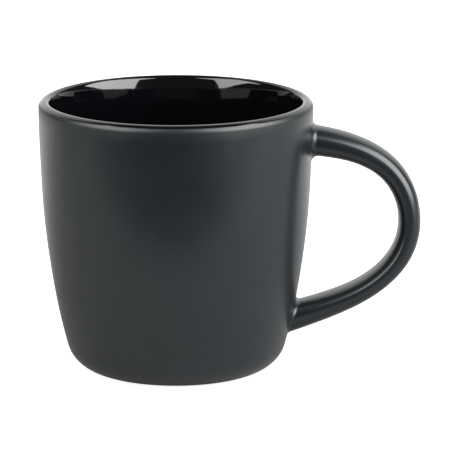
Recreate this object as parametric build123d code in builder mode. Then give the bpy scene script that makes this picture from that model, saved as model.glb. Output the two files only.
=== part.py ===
from build123d import *
import math
import os

os.makedirs("parts", exist_ok=True)

# A two-finish stoneware mug: matte glaze outside and on the handle, gloss glaze inside and over the lip.
# The mug stands on its foot ring at Z = 0 with its axis on Z. The handle lies in the XZ plane, towards +X.
# All dimensions are millimetres. Radii are measured from the axis, and angles on arcs from level, in degrees.

# Whole mug
height = 88.0
lip_radius = 44.2
lip_wall = 3.65
lip_outer_round = 2.3
lip_inner_round = lip_wall - lip_outer_round

# Glazed outside: a round base corner, then a barrel wall through these (radius, level) points
corner_round = 10.4
corner_radius = 25.4
corner_lean = 14.4
outer_wall = [(37.13, 14.4), (40.49, 32.3), (42.7, 50.3), (43.75, 68.2)]

# Glazed inside: a flat floor, a round well, then the wall, which flares a little as it nears the lip
floor_level = 7.0
well_round = 10.0
well_radius = 22.8
well_lean = 16.0
inner_wall = [(35.9, 32.3), (37.95, 50.3), (39.1, 68.2), (40.1, 83.9)]
flare_lean = 12.0

# Bare foot ring and the shallow recess inside it
foot_outer = 26.4
foot_inner = 22.4
foot_round = 0.4
recess_radius = 21.2
recess_level = 1.8

# Coats of glaze, and the slip that lutes the handle on
coat = 0.4
base_coat = 0.3
glaze_line_angle = 78.0
gloss_lap_angle = 40.0
slip_bed = 0.6
slip_collar = 3.0
slip_sleeve = 0.8
score_depth = 0.3

# Handle: (X, Z) points of the centre line from the upper joint to the lower, both ends inside the body
handle_path = [
    (40.0, 75.1), (56.15, 72.1), (68.85, 64.9), (75.3, 51.95),
    (73.7, 38.75), (64.2, 27.5), (50.15, 20.3), (34.0, 15),
]

# Handle section: (share of the centre line, half thickness), with a constant half width across the handle
handle_stations = [
    (0.0, 4.85), (0.08, 4.65), (0.16, 4.25), (0.28, 3.88), (0.42, 3.67),
    (0.58, 3.56), (0.72, 3.52), (0.84, 3.88), (0.93, 4.28), (1.0, 4.6),
]
handle_half_width = 6.9
handle_squareness = 2.5
section_points = 12

# Joints: the visible fillet round each end of the handle, and the level between the two
upper_fillet = 2.1
lower_fillet = 1.4
upper_joint_level = 74.6
lower_joint_level = 15.9
joint_half_height = 5.15
joint_margin = 0.8
joint_start = 30.0
joint_end = 47.0
handle_reach = 84.0
lower_levels = (0.0, 45.0)
upper_levels = (45.0, 84.0)

# Turned profiles are drawn on the side away from the handle, so that no seam runs under a joint
turning_plane = Plane(origin=(0, 0, 0), x_dir=(-1, 0, 0), z_dir=(0, 1, 0))


def direction(angle):
    """The unit direction at an angle in degrees."""
    return (math.cos(math.radians(angle)), math.sin(math.radians(angle)))


def outside_lines(inset, foot_angle=90.0, lip_angle=90.0):
    """Draws the outside at a depth under the glaze, and returns its two ends."""
    corner = CenterArc(
        (corner_radius, corner_round), corner_round - inset, -foot_angle, foot_angle - corner_lean
    )
    lip_centre = (lip_radius - lip_outer_round, height - lip_outer_round)
    lip = CenterArc(lip_centre, lip_outer_round - inset, 0, lip_angle)
    wall = [(radius - inset, level) for radius, level in outer_wall]
    Spline(corner @ 1, *wall, lip @ 0, tangents=[corner % 1, (0, 1)])
    return corner @ 0, lip @ 1


def lap_lines(inset):
    """Draws the part of the lip that the gloss glaze laps over, and returns its lower end."""
    lip_centre = (lip_radius - lip_outer_round, height - lip_outer_round)
    lap = CenterArc(lip_centre, lip_outer_round - inset, gloss_lap_angle, 90 - gloss_lap_angle)
    return lap @ 0


def inside_lines(inset):
    """Draws the inside at a depth under the glaze, from the axis up to the crown of the lip."""
    well = CenterArc(
        (well_radius, floor_level + well_round), well_round + inset, -90, 90 - well_lean
    )
    lip_centre = (lip_radius - lip_outer_round, height - lip_inner_round)
    lip = CenterArc(lip_centre, lip_inner_round - inset, 180 - flare_lean, flare_lean - 90)
    wall = [(radius + inset, level) for radius, level in inner_wall]
    floor = Line((0, floor_level - inset), well @ 0)
    Spline(well @ 1, *wall, lip @ 0, tangents=[well % 1, lip % 0])
    return floor @ 0


def solid_lines(inset):
    """Draws the outside at a depth under the glaze, closed down to the axis."""
    low, high = outside_lines(inset)
    Polyline(high, (0, high.Y), (0, low.Y), low)


def handle_plane(place):
    """The plane across the handle at a share of its centre line, with its X in the handle's own plane."""
    line = handle_line.edges()[0]
    along = line % place
    return Plane(line @ place, x_dir=along.cross(Vector(0, 1, 0)), z_dir=along)


def handle_ring(half_thickness, inset):
    """Draws one section of the handle at a depth under the glaze, an oval with slightly squared sides."""
    power = 2 / handle_squareness
    ring = []
    for step in range(section_points):
        x, y = direction(360 * step / section_points)
        x = math.copysign(abs(x) ** power, x)
        y = math.copysign(abs(y) ** power, y)
        ring.append(((half_thickness - inset) * x, (handle_half_width - inset) * y))
    Spline(*ring, periodic=True)


def joint_edges(part, level_range):
    """The two edges, one each side, where the handle meets the wall between two levels."""
    edges = part.edges().filter_by_position(Axis.Z, *level_range)
    edges = edges.filter_by(lambda edge: edge.center().X > joint_start)
    return edges.filter_by(lambda edge: 0.5 < edge.bounding_box().size.Y / handle_half_width < 1.5)


with BuildLine(Plane.XZ) as handle_line:
    Spline(*handle_path)

# Cutting shapes: the body and the handle at each depth, and the two joined with their fillets

with BuildPart() as glazed_outside:
    with BuildSketch(turning_plane):
        with BuildLine():
            solid_lines(0)
        make_face()
    revolve(axis=Axis.Z)

with BuildPart() as clay_outside:
    with BuildSketch(turning_plane):
        with BuildLine():
            solid_lines(coat)
        make_face()
    revolve(axis=Axis.Z)

with BuildPart() as slip_seat:
    with BuildSketch(turning_plane):
        with BuildLine():
            solid_lines(coat - slip_bed)
        make_face()
    revolve(axis=Axis.Z)

with BuildPart() as slip_floor:
    with BuildSketch(turning_plane):
        with BuildLine():
            solid_lines(coat + score_depth)
        make_face()
    revolve(axis=Axis.Z)

with BuildPart() as collar_seat:
    with BuildSketch(turning_plane):
        with BuildLine():
            solid_lines(coat - slip_collar)
        make_face()
    revolve(axis=Axis.Z)

with BuildPart() as glazed_bar:
    for place, half_thickness in handle_stations:
        with BuildSketch(handle_plane(place)):
            with BuildLine():
                handle_ring(half_thickness, 0)
            make_face()
    loft()
    split(bisect_by=Plane.XZ)
    mirror(about=Plane.XZ)

with BuildPart() as clay_bar:
    for place, half_thickness in handle_stations:
        with BuildSketch(handle_plane(place)):
            with BuildLine():
                handle_ring(half_thickness, coat)
            make_face()
    loft()
    split(bisect_by=Plane.XZ)
    mirror(about=Plane.XZ)

with BuildPart() as tenons:
    for place, half_thickness in handle_stations:
        with BuildSketch(handle_plane(place)):
            with BuildLine():
                handle_ring(half_thickness, coat + slip_sleeve)
            make_face()
    loft()
    add(slip_seat.part, mode=Mode.SUBTRACT)

with BuildPart() as glazed_form:
    add(glazed_outside.part)
    add(glazed_bar.part)
    fillet(joint_edges(glazed_form.part, upper_levels), upper_fillet)
    fillet(joint_edges(glazed_form.part, lower_levels), lower_fillet)

with BuildPart() as luted_form:
    add(clay_outside.part)
    add(clay_bar.part)
    fillet(joint_edges(luted_form.part, upper_levels), upper_fillet + coat)
    fillet(joint_edges(luted_form.part, lower_levels), lower_fillet + coat)

# Joint zones: the oval patch of wall under each end of the handle, and the pocket scored into it

with BuildPart() as upper_zone:
    with BuildSketch(Plane.YZ.offset(joint_start)):
        with Locations((0, upper_joint_level)):
            Ellipse(
                handle_half_width + upper_fillet + joint_margin,
                joint_half_height + upper_fillet + joint_margin,
            )
    extrude(amount=joint_end - joint_start)

with BuildPart() as lower_zone:
    with BuildSketch(Plane.YZ.offset(joint_start)):
        with Locations((0, lower_joint_level)):
            Ellipse(
                handle_half_width + lower_fillet + joint_margin,
                joint_half_height + lower_fillet + joint_margin,
            )
    extrude(amount=joint_end - joint_start)

with BuildPart() as upper_pocket:
    add(upper_zone.part)
    add(slip_floor.part, mode=Mode.SUBTRACT)

with BuildPart() as lower_pocket:
    add(lower_zone.part)
    add(slip_floor.part, mode=Mode.SUBTRACT)

# Clay

with BuildPart() as clay_body:
    with BuildSketch(turning_plane):
        with BuildLine():
            glaze_line = outside_lines(coat, glaze_line_angle)[0]
            axis_floor = inside_lines(coat)
            Polyline(
                glaze_line, (foot_outer, 0), (foot_inner, 0), (recess_radius, recess_level),
                (0, recess_level), axis_floor,
            )
        make_face()
    revolve(axis=Axis.Z)
    fillet(clay_body.edges().group_by(Axis.Z)[0], foot_round)
    add(upper_pocket.part, mode=Mode.SUBTRACT)
    add(lower_pocket.part, mode=Mode.SUBTRACT)
clay_body.part.label = "clay_body"
export_step(clay_body.part, "parts/clay_body.step")

with BuildPart() as clay_handle:
    add(clay_bar.part)
    add(collar_seat.part, mode=Mode.SUBTRACT)
    add(tenons.part)
clay_handle.part.label = "clay_handle"
export_step(clay_handle.part, "parts/clay_handle.step")

# Slip: it fills the scored pocket, beds the trimmed end of the handle and is smoothed out into a fillet

with BuildPart() as upper_slip_joint:
    add(luted_form.part)
    add(upper_pocket.part, mode=Mode.INTERSECT)
    add(collar_seat.part, mode=Mode.INTERSECT)
    add(tenons.part, mode=Mode.SUBTRACT)
upper_slip_joint.part.label = "upper_slip_joint"
export_step(upper_slip_joint.part, "parts/upper_slip_joint.step")

with BuildPart() as lower_slip_joint:
    add(luted_form.part)
    add(lower_pocket.part, mode=Mode.INTERSECT)
    add(collar_seat.part, mode=Mode.INTERSECT)
    add(tenons.part, mode=Mode.SUBTRACT)
lower_slip_joint.part.label = "lower_slip_joint"
export_step(lower_slip_joint.part, "parts/lower_slip_joint.step")

# Glaze: the coat on the handle runs down over both fillets and ends at the edge of each joint zone

with BuildPart() as body_glaze:
    with BuildSketch(turning_plane):
        with BuildLine():
            coat_low, coat_high = outside_lines(0, glaze_line_angle, gloss_lap_angle)
            clay_low, clay_high = outside_lines(coat, glaze_line_angle, gloss_lap_angle)
            Line(coat_low, clay_low)
            Line(coat_high, clay_high)
        make_face()
    revolve(axis=Axis.Z)
    add(upper_zone.part, mode=Mode.SUBTRACT)
    add(lower_zone.part, mode=Mode.SUBTRACT)
body_glaze.part.label = "body_glaze"
export_step(body_glaze.part, "parts/body_glaze.step")

with BuildPart() as handle_zone:
    add(upper_zone.part)
    add(lower_zone.part)
    with BuildSketch(Plane.YZ.offset(joint_end - joint_margin)):
        Rectangle(4 * handle_half_width, height, align=(Align.CENTER, Align.MIN))
    extrude(amount=handle_reach - joint_end + joint_margin)

with BuildPart() as handle_glaze:
    add(glazed_form.part)
    add(handle_zone.part, mode=Mode.INTERSECT)
    add(luted_form.part, mode=Mode.SUBTRACT)
handle_glaze.part.label = "handle_glaze"
export_step(handle_glaze.part, "parts/handle_glaze.step")

with BuildPart() as liner_glaze:
    with BuildSketch(turning_plane):
        with BuildLine():
            Line(inside_lines(0), inside_lines(coat))
            Line(lap_lines(0), lap_lines(coat))
        make_face()
    revolve(axis=Axis.Z)
liner_glaze.part.label = "liner_glaze"
export_step(liner_glaze.part, "parts/liner_glaze.step")

with BuildPart() as base_glaze:
    foot_slope = (foot_inner - recess_radius) / recess_level
    with BuildSketch(turning_plane):
        with BuildLine():
            Polyline(
                (0, recess_level), (recess_radius, recess_level),
                (recess_radius + foot_slope * base_coat, recess_level - base_coat),
                (0, recess_level - base_coat), close=True,
            )
        make_face()
    revolve(axis=Axis.Z)
base_glaze.part.label = "base_glaze"
export_step(base_glaze.part, "parts/base_glaze.step")
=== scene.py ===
import math

import bpy
import numpy as np
from mathutils import Matrix, Vector


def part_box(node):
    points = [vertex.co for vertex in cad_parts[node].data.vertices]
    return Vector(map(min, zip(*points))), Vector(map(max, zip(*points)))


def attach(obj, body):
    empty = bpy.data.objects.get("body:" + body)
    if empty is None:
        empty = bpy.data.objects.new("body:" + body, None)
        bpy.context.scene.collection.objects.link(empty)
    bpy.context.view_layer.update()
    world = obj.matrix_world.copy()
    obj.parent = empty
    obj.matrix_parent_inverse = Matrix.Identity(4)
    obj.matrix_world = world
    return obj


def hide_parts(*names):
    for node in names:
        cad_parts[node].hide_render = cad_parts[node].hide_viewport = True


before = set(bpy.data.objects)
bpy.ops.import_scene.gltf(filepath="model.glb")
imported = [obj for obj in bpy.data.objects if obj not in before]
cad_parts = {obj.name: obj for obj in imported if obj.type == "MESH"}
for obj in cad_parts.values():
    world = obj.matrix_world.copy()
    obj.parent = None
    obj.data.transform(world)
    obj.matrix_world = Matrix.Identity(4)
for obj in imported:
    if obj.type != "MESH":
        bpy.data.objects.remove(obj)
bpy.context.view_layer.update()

# The mug stands on Z = 0 with its axis on Z. The handle lies in the XZ plane, towards +X.
# Lengths are in metres, and names that end in ANGLE or LEAN are in degrees.

# ---------------------------------------------------------------- sizes, as in the CAD

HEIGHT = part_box("liner_glaze")[1].z
LIP_RADIUS = -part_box("body_glaze")[0].x
LIP_WALL = 0.00365
LIP_OUTER_ROUND = 0.0023
LIP_INNER_ROUND = LIP_WALL - LIP_OUTER_ROUND

CORNER_ROUND = 0.0104
CORNER_RADIUS = 0.0254
CORNER_LEAN = 14.4
OUTER_WALL = [(0.03713, 0.0144), (0.04049, 0.0323), (0.0427, 0.0503), (0.04375, 0.0682)]

FLOOR_LEVEL = 0.0070
WELL_ROUND = 0.0100
WELL_RADIUS = 0.0228
WELL_LEAN = 16.0
INNER_WALL = [(0.0359, 0.0323), (0.03795, 0.0503), (0.0391, 0.0682), (0.0401, 0.0839)]
FLARE_LEAN = 12.0

FOOT_INNER = 0.0224
RECESS_RADIUS = 0.0212
RECESS_LEVEL = 0.0018

COAT = 0.0004
BASE_COAT = 0.0003
GLAZE_LINE_ANGLE = 78.0
GLOSS_LAP_ANGLE = 40.0
# Each drawn coat stops just short of the clay, so that no two surfaces coincide.
DRAWN_DEPTH = 0.95

HANDLE_PATH = [
    (0.04000, 0.07510), (0.05615, 0.07210), (0.06885, 0.06490), (0.07530, 0.05195),
    (0.07370, 0.03875), (0.06420, 0.02750), (0.05015, 0.02030), (0.03400, 0.01500),
]
HANDLE_STATIONS = [
    (0.0, 0.00485), (0.08, 0.00465), (0.16, 0.00425), (0.28, 0.00388), (0.42, 0.00367),
    (0.58, 0.00356), (0.72, 0.00352), (0.84, 0.00388), (0.93, 0.00428), (1.0, 0.00460),
]
HANDLE_HALF_WIDTH = 0.0069
HANDLE_SQUARENESS = 2.5
# Beyond BEND_START the handle is drawn in, if need be, to end where the CAD's does.
HANDLE_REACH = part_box("handle_glaze")[1].x
BEND_START = 0.06

JOINT_HALF_HEIGHT = 0.00515
JOINT_MARGIN = 0.00080
UPPER_JOINT = {"level": 0.0746, "fillet": 0.0021}
LOWER_JOINT = {"level": 0.0159, "fillet": 0.0014}
JOINT_DIVIDE = 0.045

# ---------------------------------------------------------------- mesh density

TURNS = 192
CORNER_ROWS = 12
LAP_ROWS = 8
LIP_ROWS = 12
INNER_LIP_ROWS = 14
INNER_WALL_ROWS = 90
WELL_ROWS = 14
FLOOR_ROWS = 10
BASE_ROWS = 12
# A flat disc is closed by a fan of triangles inside this share of its radius.
HUB = 0.04

# A joint's window is a square of wall, WINDOW cells each way from its middle. A ring of the handle has a
# point for each point round the window's edge.
WINDOW = 9
WINDOW_MARGIN = 0.00070
RING = 8 * WINDOW

# Rows between a window and the plain handle: shares of the way to the seam between the two coats, the rows on
# each half of the fillet, and shares of the way from the fillet to the first plain ring.
SEAM_STEPS = (0.25, 0.5, 0.75, 1.0)
FILLET_ROWS = 6
HANDLE_STEPS = (0.12, 0.28, 0.48, 0.72)
# On the wall the fillet keeps within this share of the seam's distance from the handle.
SEAM_LIMIT = 0.9

# The plain rings lie between these shares of the handle's length.
PLAIN_START = 0.13
PLAIN_END = 0.87
PLAIN_SPACING = 0.0009

PATH_SAMPLES = 801
SECTION_SAMPLES = 4001


# ---------------------------------------------------------------- curves


class Spline:
    """A cubic spline through values at given places, with free ends or stated end slopes."""

    def __init__(self, places, values, slopes=None):
        x, y = np.asarray(places, float), np.asarray(values, float)
        y = y.reshape(len(x), -1)
        n, h = len(x), np.diff(x)
        rows, right = np.zeros((n, n)), np.zeros((n, y.shape[1]))
        for i in range(1, n - 1):
            rows[i, i - 1 : i + 2] = h[i - 1], 2 * (h[i - 1] + h[i]), h[i]
            right[i] = 6 * ((y[i + 1] - y[i]) / h[i] - (y[i] - y[i - 1]) / h[i - 1])
        rows[0, 0] = rows[-1, -1] = 1
        if slopes is not None:
            rows[0, :2] = 2 * h[0], h[0]
            right[0] = 6 * ((y[1] - y[0]) / h[0] - slopes[0])
            rows[-1, -2:] = h[-1], 2 * h[-1]
            right[-1] = 6 * (slopes[1] - (y[-1] - y[-2]) / h[-1])
        self.x, self.y, self.h, self.bend = x, y, h, np.linalg.solve(rows, right)

    def at(self, place, order=0):
        """The value, or with order 1 the slope, at each place."""
        place = np.asarray(place, float)
        i = np.clip(np.searchsorted(self.x, place) - 1, 0, len(self.h) - 1)
        h = self.h[i][:, None]
        a = ((self.x[i + 1] - place)[:, None]) / h
        b = 1 - a
        y0, y1, m0, m1 = self.y[i], self.y[i + 1], self.bend[i], self.bend[i + 1]
        if order:
            return (y1 - y0) / h + h * ((3 * b * b - 1) * m1 - (3 * a * a - 1) * m0) / 6
        return a * y0 + b * y1 + h * h * ((a**3 - a) * m0 + (b**3 - b) * m1) / 6


def arc(centre, radius, start, end, steps):
    """(radius, level, outward normal) rows along an arc, with angles in degrees from level."""
    angles = np.radians(np.linspace(start, end, steps))
    out = np.stack([np.cos(angles), np.sin(angles)], 1)
    return np.hstack([np.asarray(centre) + radius * out, out])


def corner_end(inset=0.0):
    """Where the round base corner hands over to the wall."""
    lean = math.radians(CORNER_LEAN)
    size = CORNER_ROUND - inset
    return CORNER_RADIUS + size * math.cos(lean), CORNER_ROUND - size * math.sin(lean)


def well_end(inset=0.0):
    """Where the round well hands over to the inner wall."""
    lean = math.radians(WELL_LEAN)
    size = WELL_ROUND + inset
    return WELL_RADIUS + size * math.cos(lean), FLOOR_LEVEL + WELL_ROUND - size * math.sin(lean)


def flare_end():
    """Where the inner wall, flaring near its top, hands over to the lip."""
    lean = math.radians(FLARE_LEAN)
    radius = LIP_RADIUS - LIP_OUTER_ROUND - LIP_INNER_ROUND * math.cos(lean)
    return radius, HEIGHT - LIP_INNER_ROUND + LIP_INNER_ROUND * math.sin(lean)


def wall_spline(foot, middle, top, foot_lean, top_lean):
    """The radius of a wall as a function of level."""
    points = [foot, *middle, top]
    slopes = (math.tan(math.radians(foot_lean)), math.tan(math.radians(top_lean)))
    return Spline([level for _, level in points], [radius for radius, _ in points], slopes)


OUTER = wall_spline(corner_end(), OUTER_WALL, (LIP_RADIUS, HEIGHT - LIP_OUTER_ROUND), CORNER_LEAN, 0)
INNER = wall_spline(well_end(), INNER_WALL, flare_end(), WELL_LEAN, FLARE_LEAN)


def wall_rows(spline, levels, side):
    """(radius, level, normal) rows on a wall, whose normals face outwards for side 1 and inwards for -1."""
    radius, slope = spline.at(levels)[:, 0], spline.at(levels, 1)[:, 0]
    size = side / np.sqrt(1 + slope**2)
    return np.stack([radius, levels, size, -slope * size], 1)


# ---------------------------------------------------------------- the handle and the smooth join

path_points = np.array(HANDLE_PATH)
path_places = np.concatenate([[0], np.cumsum(np.hypot(*np.diff(path_points, axis=0).T))])
PATH = Spline(path_places / path_places[-1], path_points)
path_samples = np.linspace(0, 1, PATH_SAMPLES)
path_line = PATH.at(path_samples)
path_length = np.concatenate([[0], np.cumsum(np.hypot(*np.diff(path_line, axis=0).T))])
path_share = path_length / path_length[-1]
THICKNESS = Spline([share for share, _ in HANDLE_STATIONS], [half for _, half in HANDLE_STATIONS])


def path_frame(share):
    """Centre, direction and in-plane normal at shares of the handle's length, each as (X, Z)."""
    place = np.interp(share, path_share, path_samples)
    along = PATH.at(place, 1)
    along /= np.hypot(*along.T)[:, None]
    return PATH.at(place), along, np.stack([-along[:, 1], along[:, 0]], 1)


def handle_points(share, turn):
    """Points on the handle's glazed surface, where turn 0 faces +Y."""
    centre, _, normal = path_frame(share)
    power = 2 / HANDLE_SQUARENESS
    half = THICKNESS.at(share)[:, 0]
    lift = half * np.sign(np.sin(turn)) * np.abs(np.sin(turn)) ** power
    side = HANDLE_HALF_WIDTH * np.sign(np.cos(turn)) * np.abs(np.cos(turn)) ** power
    return np.stack([centre[:, 0] + lift * normal[:, 0], side, centre[:, 1] + lift * normal[:, 1]], 1)


def wall_field(points):
    """Signed distance from the glazed outside wall, and the way out of it."""
    radius = np.hypot(points[:, 0], points[:, 1])
    slope = OUTER.at(points[:, 2], 1)[:, 0]
    size = np.sqrt(1 + slope**2)
    out = np.stack([points[:, 0] / radius, points[:, 1] / radius, -slope], 1) / size[:, None]
    return (radius - OUTER.at(points[:, 2])[:, 0]) / size, out


def wall_distance(points):
    """Signed distance from the glazed outside wall."""
    return wall_field(points)[0]


def handle_field(points):
    """Signed distance from the handle's glazed surface, good near the surface, and the way out of it."""
    flat = points[:, [0, 2]]
    gap = flat[:, None, :] - path_line[None, :, :]
    nearest = np.clip((gap**2).sum(2).argmin(1), 1, len(path_line) - 2)
    step = path_line[nearest + 1] - path_line[nearest - 1]
    slide = ((flat - path_line[nearest]) * step).sum(1) / (step**2).sum(1)
    share = path_share[nearest] + slide * (path_share[nearest + 1] - path_share[nearest - 1])
    centre, along, normal = path_frame(share)
    lift, side = ((flat - centre) * normal).sum(1), points[:, 1]
    half = THICKNESS.at(share)[:, 0]
    power = HANDLE_SQUARENESS
    level = (np.abs(lift / half) ** power + np.abs(side / HANDLE_HALF_WIDTH) ** power) ** (1 / power)
    level = np.maximum(level, 1e-6)
    rise = np.sign(lift) * np.abs(lift / half / level) ** (power - 1) / half
    across = np.sign(side) * np.abs(side / HANDLE_HALF_WIDTH / level) ** (power - 1) / HANDLE_HALF_WIDTH
    taper = -rise * lift / half * THICKNESS.at(share, 1)[:, 0] / path_length[-1]
    flat_out = rise[:, None] * normal + taper[:, None] * along
    out = np.stack([flat_out[:, 0], across, flat_out[:, 1]], 1)
    slope = np.linalg.norm(out, axis=1)
    return (level - 1) / slope, out / slope[:, None]


def handle_distance(points):
    """Signed distance from the handle's glazed surface."""
    return handle_field(points)[0]


def opening(points):
    """The cosine of the angle between the two surfaces' ways out."""
    return (wall_field(points)[1] * handle_field(points)[1]).sum(1)


def mug_field(points):
    """Signed distance from the wall and handle joined by a fillet, and the way out.

    The fillet is the one that a ball would leave, rolled along the crease between them."""
    fillet = np.where(points[:, 2] > JOINT_DIVIDE, UPPER_JOINT["fillet"], LOWER_JOINT["fillet"])
    (wall, wall_out), (bar, bar_out) = wall_field(points), handle_field(points)
    cosine = (wall_out * bar_out).sum(1)
    first, second = fillet - wall, fillet - bar
    rolled = (first > cosine * second) & (second > cosine * first) & (first + second > 0)
    to_ball = (first - cosine * second)[:, None] * wall_out + (second - cosine * first)[:, None] * bar_out
    to_ball /= np.maximum(1 - cosine**2, 1e-9)[:, None]
    reach = np.maximum(np.linalg.norm(to_ball, axis=1), 1e-9)
    distance = np.where(rolled, fillet - reach, np.minimum(wall, bar))
    plain_out = np.where((wall < bar)[:, None], wall_out, bar_out)
    return distance, np.where(rolled[:, None], to_ball / reach[:, None], plain_out)


def settle(points, rounds=12):
    """Moves points onto the joined surface along its own way out."""
    for _ in range(rounds):
        distance, out = mug_field(points)
        points = points - out * distance[:, None]
    return points


def bisect(test, low, high, rounds=40):
    """For each entry the place between low and high where test crosses zero, rising from low to high."""
    for _ in range(rounds):
        middle = (low + high) / 2
        below = test(middle) < 0
        low, high = np.where(below, middle, low), np.where(below, high, middle)
    return (low + high) / 2


# ---------------------------------------------------------------- meshes


def revolve(rows):
    """Points, normals and quads for rows of (radius, level, normal) turned about the axis."""
    angles = 2 * np.pi * np.arange(TURNS) / TURNS
    cos, sin = np.cos(angles), np.sin(angles)

    def turned(across, up):
        up = np.repeat(up[:, None], TURNS, 1)
        return np.stack([np.outer(across, cos), np.outer(across, sin), up], 2).reshape(-1, 3)

    quads = []
    for i in range(len(rows) - 1):
        for j in range(TURNS):
            k = (j + 1) % TURNS
            quads.append((i * TURNS + j, i * TURNS + k, (i + 1) * TURNS + k, (i + 1) * TURNS + j))
    return turned(rows[:, 0], rows[:, 1]), turned(rows[:, 2], rows[:, 3]), quads


def close_middle(points, normals, quads):
    """A flat disc's points, normals and faces, with its last ring closed by a fan of triangles."""
    centre = len(points)
    last = centre - TURNS
    points = np.vstack([points, [0, 0, points[last, 2]]])
    normals = np.vstack([normals, normals[last]])
    fan = [(last + j, last + (j + 1) % TURNS, centre) for j in range(TURNS)]
    return points, normals, quads + fan


def facing(points, normals, faces):
    """The faces, each turned to face the way that its vertices' normals point."""
    turned = []
    for face in faces:
        a, b, c = points[face[0]], points[face[1]], points[face[2]]
        if len(face) == 4:
            way = np.cross(points[face[2]] - a, points[face[3]] - b)
        else:
            way = np.cross(b - a, c - a)
        turned.append(face if way @ normals[face[0]] > 0 else face[::-1])
    return turned


def make_piece(name, points, normals, faces, depth, material, slot, *nodes):
    """Makes a closed coat: the surface, the same surface at a depth below it, and strips along its edges."""
    faces = facing(points, normals, faces)
    count = len(points)
    sides = {side for face in faces for side in zip(face, face[1:] + face[:1])}
    all_points = np.vstack([points, points - depth * normals])
    all_faces = list(faces)
    all_faces += [tuple(count + i for i in face[::-1]) for face in faces]
    strips = [(b, a, a + count, b + count) for a, b in sorted(sides) if (b, a) not in sides]
    all_faces += strips
    mesh = bpy.data.meshes.new(name)
    mesh.from_pydata(all_points.tolist(), [], all_faces)
    mesh.polygons.foreach_set("use_smooth", [True] * len(all_faces))
    mesh.update()
    loops = [normals[i] for face in faces for i in face]
    loops += [-normals[i] for face in faces for i in face[::-1]]
    for face in strips:
        a, b, c, d = all_points[list(face)]
        flat = np.cross(c - a, d - b)
        loops += [flat / max(np.linalg.norm(flat), 1e-12)] * 4
    mesh.normals_split_custom_set(np.array(loops).tolist())
    mesh.materials.append(material)
    piece = bpy.data.objects.new(name, mesh)
    bpy.context.scene.collection.objects.link(piece)
    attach(piece, "root")
    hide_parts(*nodes)
    return piece


def joint_window(joint):
    """The two levels that bound the square of wall rebuilt round a joint."""
    reach = JOINT_HALF_HEIGHT + joint["fillet"] + JOINT_MARGIN + WINDOW_MARGIN
    return joint["level"] - reach, joint["level"] + reach


def outer_levels():
    """Levels of the rows on the outside wall, evenly spaced between the edges of the joint windows."""
    low_bottom, low_top = joint_window(LOWER_JOINT)
    high_bottom, high_top = joint_window(UPPER_JOINT)
    cell = (low_top - low_bottom) / (2 * WINDOW)
    between = round((high_bottom - low_top) / cell)
    return np.concatenate([
        np.linspace(corner_end()[1], low_bottom, 3)[:-1],
        np.linspace(low_bottom, low_top, 2 * WINDOW + 1)[:-1],
        np.linspace(low_top, high_bottom, between + 1)[:-1],
        np.linspace(high_bottom, high_top, 2 * WINDOW + 1)[:-1],
        np.linspace(high_top, HEIGHT - LIP_OUTER_ROUND, 4),
    ])


def window_loop(first_row):
    """(row, column) round the edge of a joint window, from the middle of its +Y side, upwards first."""
    last_row = first_row + 2 * WINDOW
    loop = [(row, WINDOW) for row in range(first_row + WINDOW, last_row)]
    loop += [(last_row, column) for column in range(WINDOW, -WINDOW, -1)]
    loop += [(row, -WINDOW) for row in range(last_row, first_row, -1)]
    loop += [(first_row, column) for column in range(-WINDOW, WINDOW)]
    loop += [(row, WINDOW) for row in range(first_row, first_row + WINDOW)]
    return loop


def ring_turns():
    """Turns round the handle's section that space its points evenly."""
    dense = np.linspace(0, 2 * np.pi, SECTION_SAMPLES)
    section = handle_points(np.full(dense.shape, 0.5), dense)
    length = np.concatenate([[0], np.cumsum(np.linalg.norm(np.diff(section, axis=0), axis=1))])
    return np.interp(length[-1] * np.arange(RING) / RING, length, dense)


def on_wall(side, level):
    """The point on the handle side of the wall at a sideways distance and a level."""
    radius = OUTER.at(level)[:, 0]
    return np.stack([np.sqrt(radius**2 - side**2), side, level], 1)


def joint_rows(joint, edge, turns, near, far):
    """Rows of points from a window's edge in to the handle: those on the wall, and those over the handle.

    near and far are shares of the handle's length, inside the wall and clear of the fillet."""
    fillet = joint["fillet"]
    half = np.array([HANDLE_HALF_WIDTH, JOINT_HALF_HEIGHT]) + fillet + JOINT_MARGIN
    low, high, rise = (near, far, 1) if near < far else (far, near, -1)

    def share_at(distance):
        """The share of the handle's length at a distance from the wall, for each turn."""

        def past(share):
            return rise * (wall_distance(handle_points(share, turns)) - distance)

        return bisect(past, np.full(RING, low), np.full(RING, high))

    crease = handle_points(share_at(0.0), turns)
    reach = fillet * (1 - opening(crease))

    def between(mix):
        """The points on the wall part of the way from the window's edge to the crease."""
        mixed = edge[:, 1:] + (crease[:, 1:] - edge[:, 1:]) * mix[:, None]
        return on_wall(mixed[:, 0], mixed[:, 1])

    def oval(mix):
        return 1 - np.hypot(*((between(mix)[:, 1:] - [0, joint["level"]]) / half).T)

    seam = bisect(oval, np.zeros(RING), np.ones(RING))
    wall = [between(seam * step) for step in SEAM_STEPS]
    wall_reach = np.minimum(reach, SEAM_LIMIT * handle_distance(between(seam)))

    def mix_at(gap):
        """How far in from the window's edge the wall comes within a gap of the handle."""
        return bisect(lambda mix: gap - handle_distance(between(mix)), seam, np.ones(RING))

    # The rows divide the fillet's arc evenly: 1 - tan falls from 1 at its edge to 0 in the crease.
    angles = np.radians(np.linspace(0, 45, FILLET_ROWS + 1))
    mixes = [mix_at(wall_reach * (1 - math.tan(angle))) for angle in angles[:-1]]
    rows = [between((seam + mixes[0]) / 2)]
    rows += [between(mix) for mix in mixes]
    for angle in angles[::-1]:
        share = share_at(reach * (1 - math.tan(angle)))
        rows.append(handle_points(share, turns))
    for step in HANDLE_STEPS:
        rows.append(handle_points(share + (far - share) * step, turns))
    return wall, [settle(row) for row in rows]


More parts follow.
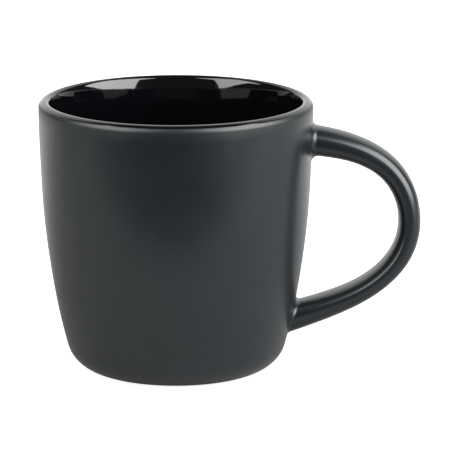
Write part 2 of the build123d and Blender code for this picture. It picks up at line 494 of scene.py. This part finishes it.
def build_coats(material):
    """The matte coat on the body and on the handle: two pieces that share their edges round both joints."""
    corner = (CORNER_RADIUS, CORNER_ROUND)
    lip = (LIP_RADIUS - LIP_OUTER_ROUND, HEIGHT - LIP_OUTER_ROUND)
    rows = np.vstack([
        arc(corner, CORNER_ROUND, -GLAZE_LINE_ANGLE, -CORNER_LEAN, CORNER_ROWS)[:-1],
        wall_rows(OUTER, outer_levels(), 1),
        arc(lip, LIP_OUTER_ROUND, 0, GLOSS_LAP_ANGLE, LAP_ROWS)[1:],
    ])
    points, normals, quads = revolve(rows)
    upper_row, lower_row = (
        int(np.argmin(np.abs(rows[:, 1] - joint_window(joint)[0]))) for joint in (UPPER_JOINT, LOWER_JOINT)
    )
    body_faces, handle_faces = [], []
    for quad in quads:
        row, column = divmod(quad[0], TURNS)
        column = (column + TURNS // 2) % TURNS - TURNS // 2
        inside = any(first <= row < first + 2 * WINDOW for first in (upper_row, lower_row))
        if not (inside and -WINDOW <= column < WINDOW):
            body_faces.append(quad)
    stack, stack_normals = [points], [normals]
    count = len(points)

    def add(row_points):
        nonlocal count
        stack.append(row_points)
        stack_normals.append(mug_field(row_points)[1])
        count += len(row_points)
        return np.arange(count - len(row_points), count)

    def join(faces, first, second):
        for k in range(RING):
            n = (k + 1) % RING
            faces.append((int(first[k]), int(first[n]), int(second[n]), int(second[k])))

    turns = ring_turns()
    ends = []
    for joint, first_row, near, far in (
        (UPPER_JOINT, upper_row, 0.0, PLAIN_START), (LOWER_JOINT, lower_row, 1.0, PLAIN_END),
    ):
        loop = np.array([row * TURNS + column % TURNS for row, column in window_loop(first_row)])
        if near > far:
            loop = loop[(-np.arange(RING)) % RING]
        wall, over = joint_rows(joint, points[loop], turns, near, far)
        last = loop
        for faces, part in ((body_faces, wall), (handle_faces, over)):
            for row in part:
                index = add(row)
                join(faces, last, index)
                last = index
        ends.append(last)
    rings = round((PLAIN_END - PLAIN_START) * path_length[-1] / PLAIN_SPACING)
    last = ends[0]
    for share in np.linspace(PLAIN_START, PLAIN_END, rings + 1):
        index = add(handle_points(np.full(RING, share), turns))
        join(handle_faces, last, index)
        last = index
    join(handle_faces, last, ends[1])
    points, normals = np.vstack(stack), np.vstack(stack_normals)
    bend = points[:, 0] > BEND_START
    squeeze = (HANDLE_REACH - BEND_START) / (points[:, 0].max() - BEND_START)
    points[bend, 0] = BEND_START + (points[bend, 0] - BEND_START) * min(squeeze, 1.0)
    for name, faces, node in (
        ("body_coat", body_faces, "body_glaze"), ("handle_coat", handle_faces, "handle_glaze"),
    ):
        used = sorted({i for face in faces for i in face})
        place = {old: new for new, old in enumerate(used)}
        faces = [tuple(place[i] for i in face) for face in faces]
        make_piece(
            name, points[used], normals[used], faces, COAT * DRAWN_DEPTH, material, "matte_glaze", node
        )


def build_liner(material):
    """The gloss coat: over the lip, down the inside wall, round the well and across the floor."""
    lip = (LIP_RADIUS - LIP_OUTER_ROUND, HEIGHT - LIP_OUTER_ROUND)
    inner_lip = (LIP_RADIUS - LIP_OUTER_ROUND, HEIGHT - LIP_INNER_ROUND)
    well_rows = arc((WELL_RADIUS, FLOOR_LEVEL + WELL_ROUND), WELL_ROUND, -WELL_LEAN, -90, WELL_ROWS)
    well_rows[:, 2:] *= -1
    floor_shares = np.linspace(1, HUB, FLOOR_ROWS)[1:]
    rows = np.vstack([
        arc(lip, LIP_OUTER_ROUND, GLOSS_LAP_ANGLE, 90, LIP_ROWS)[:-1],
        arc(inner_lip, LIP_INNER_ROUND, 90, 180 - FLARE_LEAN, INNER_LIP_ROWS)[:-1],
        wall_rows(INNER, np.linspace(flare_end()[1], well_end()[1], INNER_WALL_ROWS), -1)[:-1],
        well_rows,
        [[WELL_RADIUS * share, FLOOR_LEVEL, 0, 1] for share in floor_shares],
    ])
    surface = close_middle(*revolve(rows))
    make_piece("liner_coat", *surface, COAT * DRAWN_DEPTH, material, "gloss_glaze", "liner_glaze")


def build_base(material):
    """The coat in the recess under the mug."""
    slope = (FOOT_INNER - RECESS_RADIUS) / RECESS_LEVEL
    level = RECESS_LEVEL - BASE_COAT
    edge = RECESS_RADIUS + slope * BASE_COAT
    rows = np.array([[edge * share, level, 0, -1] for share in np.linspace(1, HUB, BASE_ROWS)])
    surface = close_middle(*revolve(rows))
    make_piece("base_coat", *surface, BASE_COAT * DRAWN_DEPTH, material, "matte_glaze", "base_glaze")


# ---------------------------------------------------------------- materials

MATTE_ROUGHNESS = 0.29
SHEEN_PATCHES = 0.012
# The matte glaze thins and dries over the last LIP_DRY_DEPTH under the lip.
LIP_DRY_DEPTH = 0.0055
LIP_DRYNESS = 0.11
# The values that a noise texture mostly keeps between.
NOISE_RANGE = (0.3, 0.7)


def new_material(name):
    """A node material, its nodes, its links and its shader."""
    material = bpy.data.materials.new(name)
    material.use_nodes = True
    nodes, links = material.node_tree.nodes, material.node_tree.links
    return material, nodes, links, nodes["Principled BSDF"]


def noise(nodes, links, coords, scale, detail=2.0):
    """A noise texture in the object's own coordinates."""
    texture = nodes.new("ShaderNodeTexNoise")
    texture.inputs["Scale"].default_value = scale
    texture.inputs["Detail"].default_value = detail
    links.new(coords, texture.inputs["Vector"])
    return texture.outputs["Fac"]


def spread(nodes, links, value, given, wanted):
    """A texture's values between two given numbers, spread over two wanted numbers."""
    span = nodes.new("ShaderNodeMapRange")
    for name, number in zip(("From Min", "From Max", "To Min", "To Max"), (*given, *wanted)):
        span.inputs[name].default_value = number
    links.new(value, span.inputs["Value"])
    return span.outputs["Result"]


def specks(nodes, links, coords, scale, size, share):
    """A mask of round specks: size is their radius in cells, and share is how many of the cells hold one."""
    cells = nodes.new("ShaderNodeTexVoronoi")
    cells.inputs["Scale"].default_value = scale
    links.new(coords, cells.inputs["Vector"])
    soft_edge = (size, size * 0.6)
    spot = spread(nodes, links, cells.outputs["Distance"], soft_edge, (0.0, 1.0))
    pick = nodes.new("ShaderNodeSeparateColor")
    links.new(cells.outputs["Color"], pick.inputs["Color"])
    chosen = nodes.new("ShaderNodeMath")
    chosen.operation = "LESS_THAN"
    chosen.inputs[1].default_value = share
    links.new(pick.outputs["Red"], chosen.inputs[0])
    both = nodes.new("ShaderNodeMath")
    both.operation = "MULTIPLY"
    links.new(spot, both.inputs[0])
    links.new(chosen.outputs[0], both.inputs[1])
    return both.outputs[0]


def blend(nodes, links, factor, first, second):
    """Two colours, each a colour or an output, mixed by a texture."""
    mix = nodes.new("ShaderNodeMix")
    mix.data_type = "RGBA"
    colour_sockets = [socket for socket in mix.inputs if socket.type == "RGBA"]
    links.new(factor, mix.inputs["Factor"])
    for value, socket in zip((first, second), colour_sockets):
        if isinstance(value, tuple):
            socket.default_value = (*value, 1)
        else:
            links.new(value, socket)
    return next(socket for socket in mix.outputs if socket.type == "RGBA")


def tooth(nodes, links, shader, height, depth, strength):
    """Raises the surface by a texture, with depth in metres."""
    bump = nodes.new("ShaderNodeBump")
    bump.inputs["Distance"].default_value = depth
    bump.inputs["Strength"].default_value = strength
    links.new(height, bump.inputs["Height"])
    links.new(bump.outputs["Normal"], shader.inputs["Normal"])


def matte_glaze():
    """A dark satin glaze with a very fine tooth, soft patches of sheen and a few pale pinpricks."""
    material, nodes, links, shader = new_material("matte_black_glaze")
    coords = nodes.new("ShaderNodeTexCoord").outputs["Object"]
    cloud = noise(nodes, links, coords, scale=90.0, detail=4.0)
    ground = blend(nodes, links, cloud, (0.0048, 0.0068, 0.0080), (0.0068, 0.0094, 0.0108))
    pricks = specks(nodes, links, coords, scale=130.0, size=0.028, share=0.4)
    links.new(blend(nodes, links, pricks, ground, (0.085, 0.070, 0.058)), shader.inputs["Base Color"])
    place = nodes.new("ShaderNodeSeparateXYZ")
    links.new(coords, place.inputs[0])
    under_lip = (HEIGHT - LIP_DRY_DEPTH, HEIGHT - LIP_OUTER_ROUND)
    thinning = spread(nodes, links, place.outputs["Z"], under_lip, (0.0, LIP_DRYNESS))
    sheen = nodes.new("ShaderNodeMath")
    links.new(thinning, sheen.inputs[0])
    patches = (MATTE_ROUGHNESS - SHEEN_PATCHES, MATTE_ROUGHNESS + SHEEN_PATCHES)
    links.new(spread(nodes, links, cloud, NOISE_RANGE, patches), sheen.inputs[1])
    links.new(sheen.outputs[0], shader.inputs["Roughness"])
    shader.inputs["IOR"].default_value = 1.5
    grain = noise(nodes, links, coords, scale=1500.0)
    tooth(nodes, links, shader, grain, depth=0.00001, strength=0.35)
    return material


def gloss_glaze():
    """A deep black gloss glaze with the faint waviness of a poured coat."""
    material, nodes, links, shader = new_material("gloss_black_glaze")
    coords = nodes.new("ShaderNodeTexCoord").outputs["Object"]
    cloud = noise(nodes, links, coords, scale=120.0, detail=3.0)
    ground = blend(nodes, links, cloud, (0.0009, 0.0011, 0.0014), (0.0015, 0.0018, 0.0023))
    links.new(ground, shader.inputs["Base Color"])
    links.new(spread(nodes, links, cloud, NOISE_RANGE, (0.035, 0.06)), shader.inputs["Roughness"])
    shader.inputs["IOR"].default_value = 1.52
    waves = noise(nodes, links, coords, scale=110.0)
    tooth(nodes, links, shader, waves, depth=0.00006, strength=0.5)
    return material


def stoneware():
    """Bare buff stoneware: cloudy, grainy and flecked with iron."""
    material, nodes, links, shader = new_material("bare_stoneware")
    coords = nodes.new("ShaderNodeTexCoord").outputs["Object"]
    cloud = noise(nodes, links, coords, scale=160.0, detail=5.0)
    ground = blend(nodes, links, cloud, (0.47, 0.42, 0.35), (0.60, 0.55, 0.48))
    flecks = specks(nodes, links, coords, scale=480.0, size=0.16, share=0.3)
    links.new(blend(nodes, links, flecks, ground, (0.20, 0.13, 0.08)), shader.inputs["Base Color"])
    links.new(spread(nodes, links, cloud, NOISE_RANGE, (0.78, 0.92)), shader.inputs["Roughness"])
    grain = noise(nodes, links, coords, scale=1800.0, detail=4.0)
    tooth(nodes, links, shader, grain, depth=0.00006, strength=0.6)
    return material


matte = matte_glaze()
gloss = gloss_glaze()
clay = stoneware()
build_coats(matte)
build_liner(gloss)
build_base(matte)
for node in ("clay_body", "clay_handle", "upper_slip_joint", "lower_slip_joint"):
    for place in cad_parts[node].material_slots:
        place.material = clay

# ---------------------------------------------------------------- studio

FLOOR_FRONT = -0.16
FLOOR_BACK = 0.9
FLOOR_SIDE = 0.7
# The floor glows for the camera only. Its base colour, which the mug reflects, holds painted shade: dim in
# front, standing in for the shaded floor before the mug, and pale behind.
FLOOR_GLOW = 0.85
FLOOR_FADE = (0.10, 0.3)
FLOOR_PAINTED_SHADE = 0.34
FLOOR_PALE = 0.8

floor_mesh = bpy.data.meshes.new("floor")
front_edge = [(-FLOOR_SIDE, FLOOR_FRONT, 0), (FLOOR_SIDE, FLOOR_FRONT, 0)]
back_edge = [(FLOOR_SIDE, FLOOR_BACK, 0), (-FLOOR_SIDE, FLOOR_BACK, 0)]
floor_mesh.from_pydata(front_edge + back_edge, [], [(0, 1, 2, 3)])
floor = bpy.data.objects.new("floor", floor_mesh)
bpy.context.scene.collection.objects.link(floor)
floor_material, floor_nodes, floor_links, floor_shader = new_material("floor_white")
floor_seen = floor_nodes.new("ShaderNodeLightPath").outputs["Is Camera Ray"]
floor_glow = floor_nodes.new("ShaderNodeMath")
floor_glow.operation = "MULTIPLY"
floor_glow.inputs[1].default_value = FLOOR_GLOW
floor_links.new(floor_seen, floor_glow.inputs[0])
floor_links.new(floor_glow.outputs[0], floor_shader.inputs["Emission Strength"])
floor_place = floor_nodes.new("ShaderNodeSeparateXYZ")
floor_links.new(floor_nodes.new("ShaderNodeTexCoord").outputs["Object"], floor_place.inputs[0])
# Painted shade: the floor's base colour is darker towards the front and paler towards the back.
floor_fade = spread(floor_nodes, floor_links, floor_place.outputs["Y"], FLOOR_FADE, (0.0, 1.0))
floor_painted_tone = blend(floor_nodes, floor_links, floor_fade, (FLOOR_PAINTED_SHADE,) * 3, (FLOOR_PALE,) * 3)
floor_links.new(floor_painted_tone, floor_shader.inputs["Base Color"])
floor_shader.inputs["Specular IOR Level"].default_value = 0.0
floor_shader.inputs["Roughness"].default_value = 0.9
floor_shader.inputs["Emission Color"].default_value = (1, 1, 1, 1)
floor_mesh.materials.append(floor_material)

# What the mug reflects is a bright backdrop in a dim room, set out by the unit direction (X, Y, Z). The
# backdrop fades in as Y goes through BACKDROP_EDGE, which comes sooner the further Z is above
# BACKDROP_WIDENS_ABOVE, and fades out as Z goes through BACKDROP_TOP. The camera sees it all round.
BACKDROP = 1.2
ROOM = 0.08
BACKDROP_EDGE = (0.64, 0.84)
BACKDROP_WIDENS_ABOVE = 0.22
BACKDROP_WIDENING = 0.7
BACKDROP_TOP = (0.9, 0.7)

world = bpy.data.worlds.new("studio")
bpy.context.scene.world = world
world.use_nodes = True
nodes, links = world.node_tree.nodes, world.node_tree.links


def ease(value, limits):
    """A smooth step of a world node's output, from 0 at the first limit to 1 at the second."""
    step = nodes.new("ShaderNodeMapRange")
    step.interpolation_type = "SMOOTHSTEP"
    step.inputs["From Min"].default_value, step.inputs["From Max"].default_value = limits
    links.new(value, step.inputs["Value"])
    return step.outputs["Result"]


def combine(kind, first, second):
    """A math node of a kind on two world values, each an output or a number."""
    math_node = nodes.new("ShaderNodeMath")
    math_node.operation = kind
    for value, socket in zip((first, second), math_node.inputs):
        if isinstance(value, float):
            socket.default_value = value
        else:
            links.new(value, socket)
    return math_node.outputs[0]


way = nodes.new("ShaderNodeSeparateXYZ")
links.new(nodes.new("ShaderNodeTexCoord").outputs["Generated"], way.inputs[0])
height = combine("SUBTRACT", way.outputs["Z"], BACKDROP_WIDENS_ABOVE)
widened = combine("MAXIMUM", combine("MULTIPLY", height, BACKDROP_WIDENING), 0.0)
behind = ease(combine("ADD", way.outputs["Y"], widened), BACKDROP_EDGE)
below_top = ease(way.outputs["Z"], BACKDROP_TOP)
backdrop = combine("MULTIPLY", combine("MULTIPLY", behind, below_top), BACKDROP - ROOM)
reflected = combine("ADD", backdrop, ROOM)
seen = nodes.new("ShaderNodeLightPath").outputs["Is Camera Ray"]
strength = combine("MAXIMUM", reflected, combine("MULTIPLY", seen, BACKDROP))
links.new(strength, nodes["Background"].inputs["Strength"])
nodes["Background"].inputs["Color"].default_value = (1, 1, 1, 1)

AIM = Vector((0, 0, 0.06))
BOX_DISTANCE = 1.0


def direction(azimuth, elevation):
    """The unit direction at an angle round from the camera's side towards +X, and an angle up."""
    turn, rise = math.radians(azimuth), math.radians(elevation)
    return Vector((math.sin(turn) * math.cos(rise), -math.cos(turn) * math.cos(rise), math.sin(rise)))


def soft_box(name, azimuth, elevation, size, lean, power):
    """A rectangular soft light that faces the mug, with its top rolled towards the camera by the lean."""
    light = bpy.data.lights.new(name, "AREA")
    light.shape = "RECTANGLE"
    light.size, light.size_y = size
    light.energy = power
    lamp = bpy.data.objects.new(name, light)
    away = direction(azimuth, elevation)
    inward = away.cross(Vector((0, 0, 1))).normalized() * math.copysign(1, azimuth)
    upward = inward.cross(away) * math.copysign(1, azimuth)
    upward = upward * math.copysign(1, upward.z)
    top = upward * math.cos(math.radians(lean)) + inward * math.sin(math.radians(lean))
    lamp.matrix_world = Matrix((top.cross(away), top, away)).transposed().to_4x4()
    lamp.location = AIM + away * BOX_DISTANCE
    bpy.context.scene.collection.objects.link(lamp)
    return lamp


soft_box("right_box", azimuth=62, elevation=28, size=(1.1, 0.98), lean=14, power=33)
soft_box("left_box", azimuth=-58, elevation=31, size=(0.92, 0.85), lean=17, power=16.5)

# ---------------------------------------------------------------- camera, fitted to the mug's outline

CAMERA_DISTANCE = 1.1169
CAMERA_LEVEL = 0.3084
CAMERA_PITCH = 13.206
CAMERA_YAW = 0.819
# The sensor and the lens are in millimetres.
SENSOR = 36.0
LENS = 282.652

camera_data = bpy.data.cameras.new("camera")
camera_data.sensor_width = SENSOR
camera_data.lens = LENS
camera = bpy.data.objects.new("camera", camera_data)
camera.location = (0, -CAMERA_DISTANCE, CAMERA_LEVEL)
camera.rotation_euler = (math.radians(90 - CAMERA_PITCH), 0, -math.radians(CAMERA_YAW))
camera_data.clip_end = 50.0
bpy.context.scene.collection.objects.link(camera)
bpy.context.scene.camera = camera
bpy.context.scene.view_settings.view_transform = "Standard"
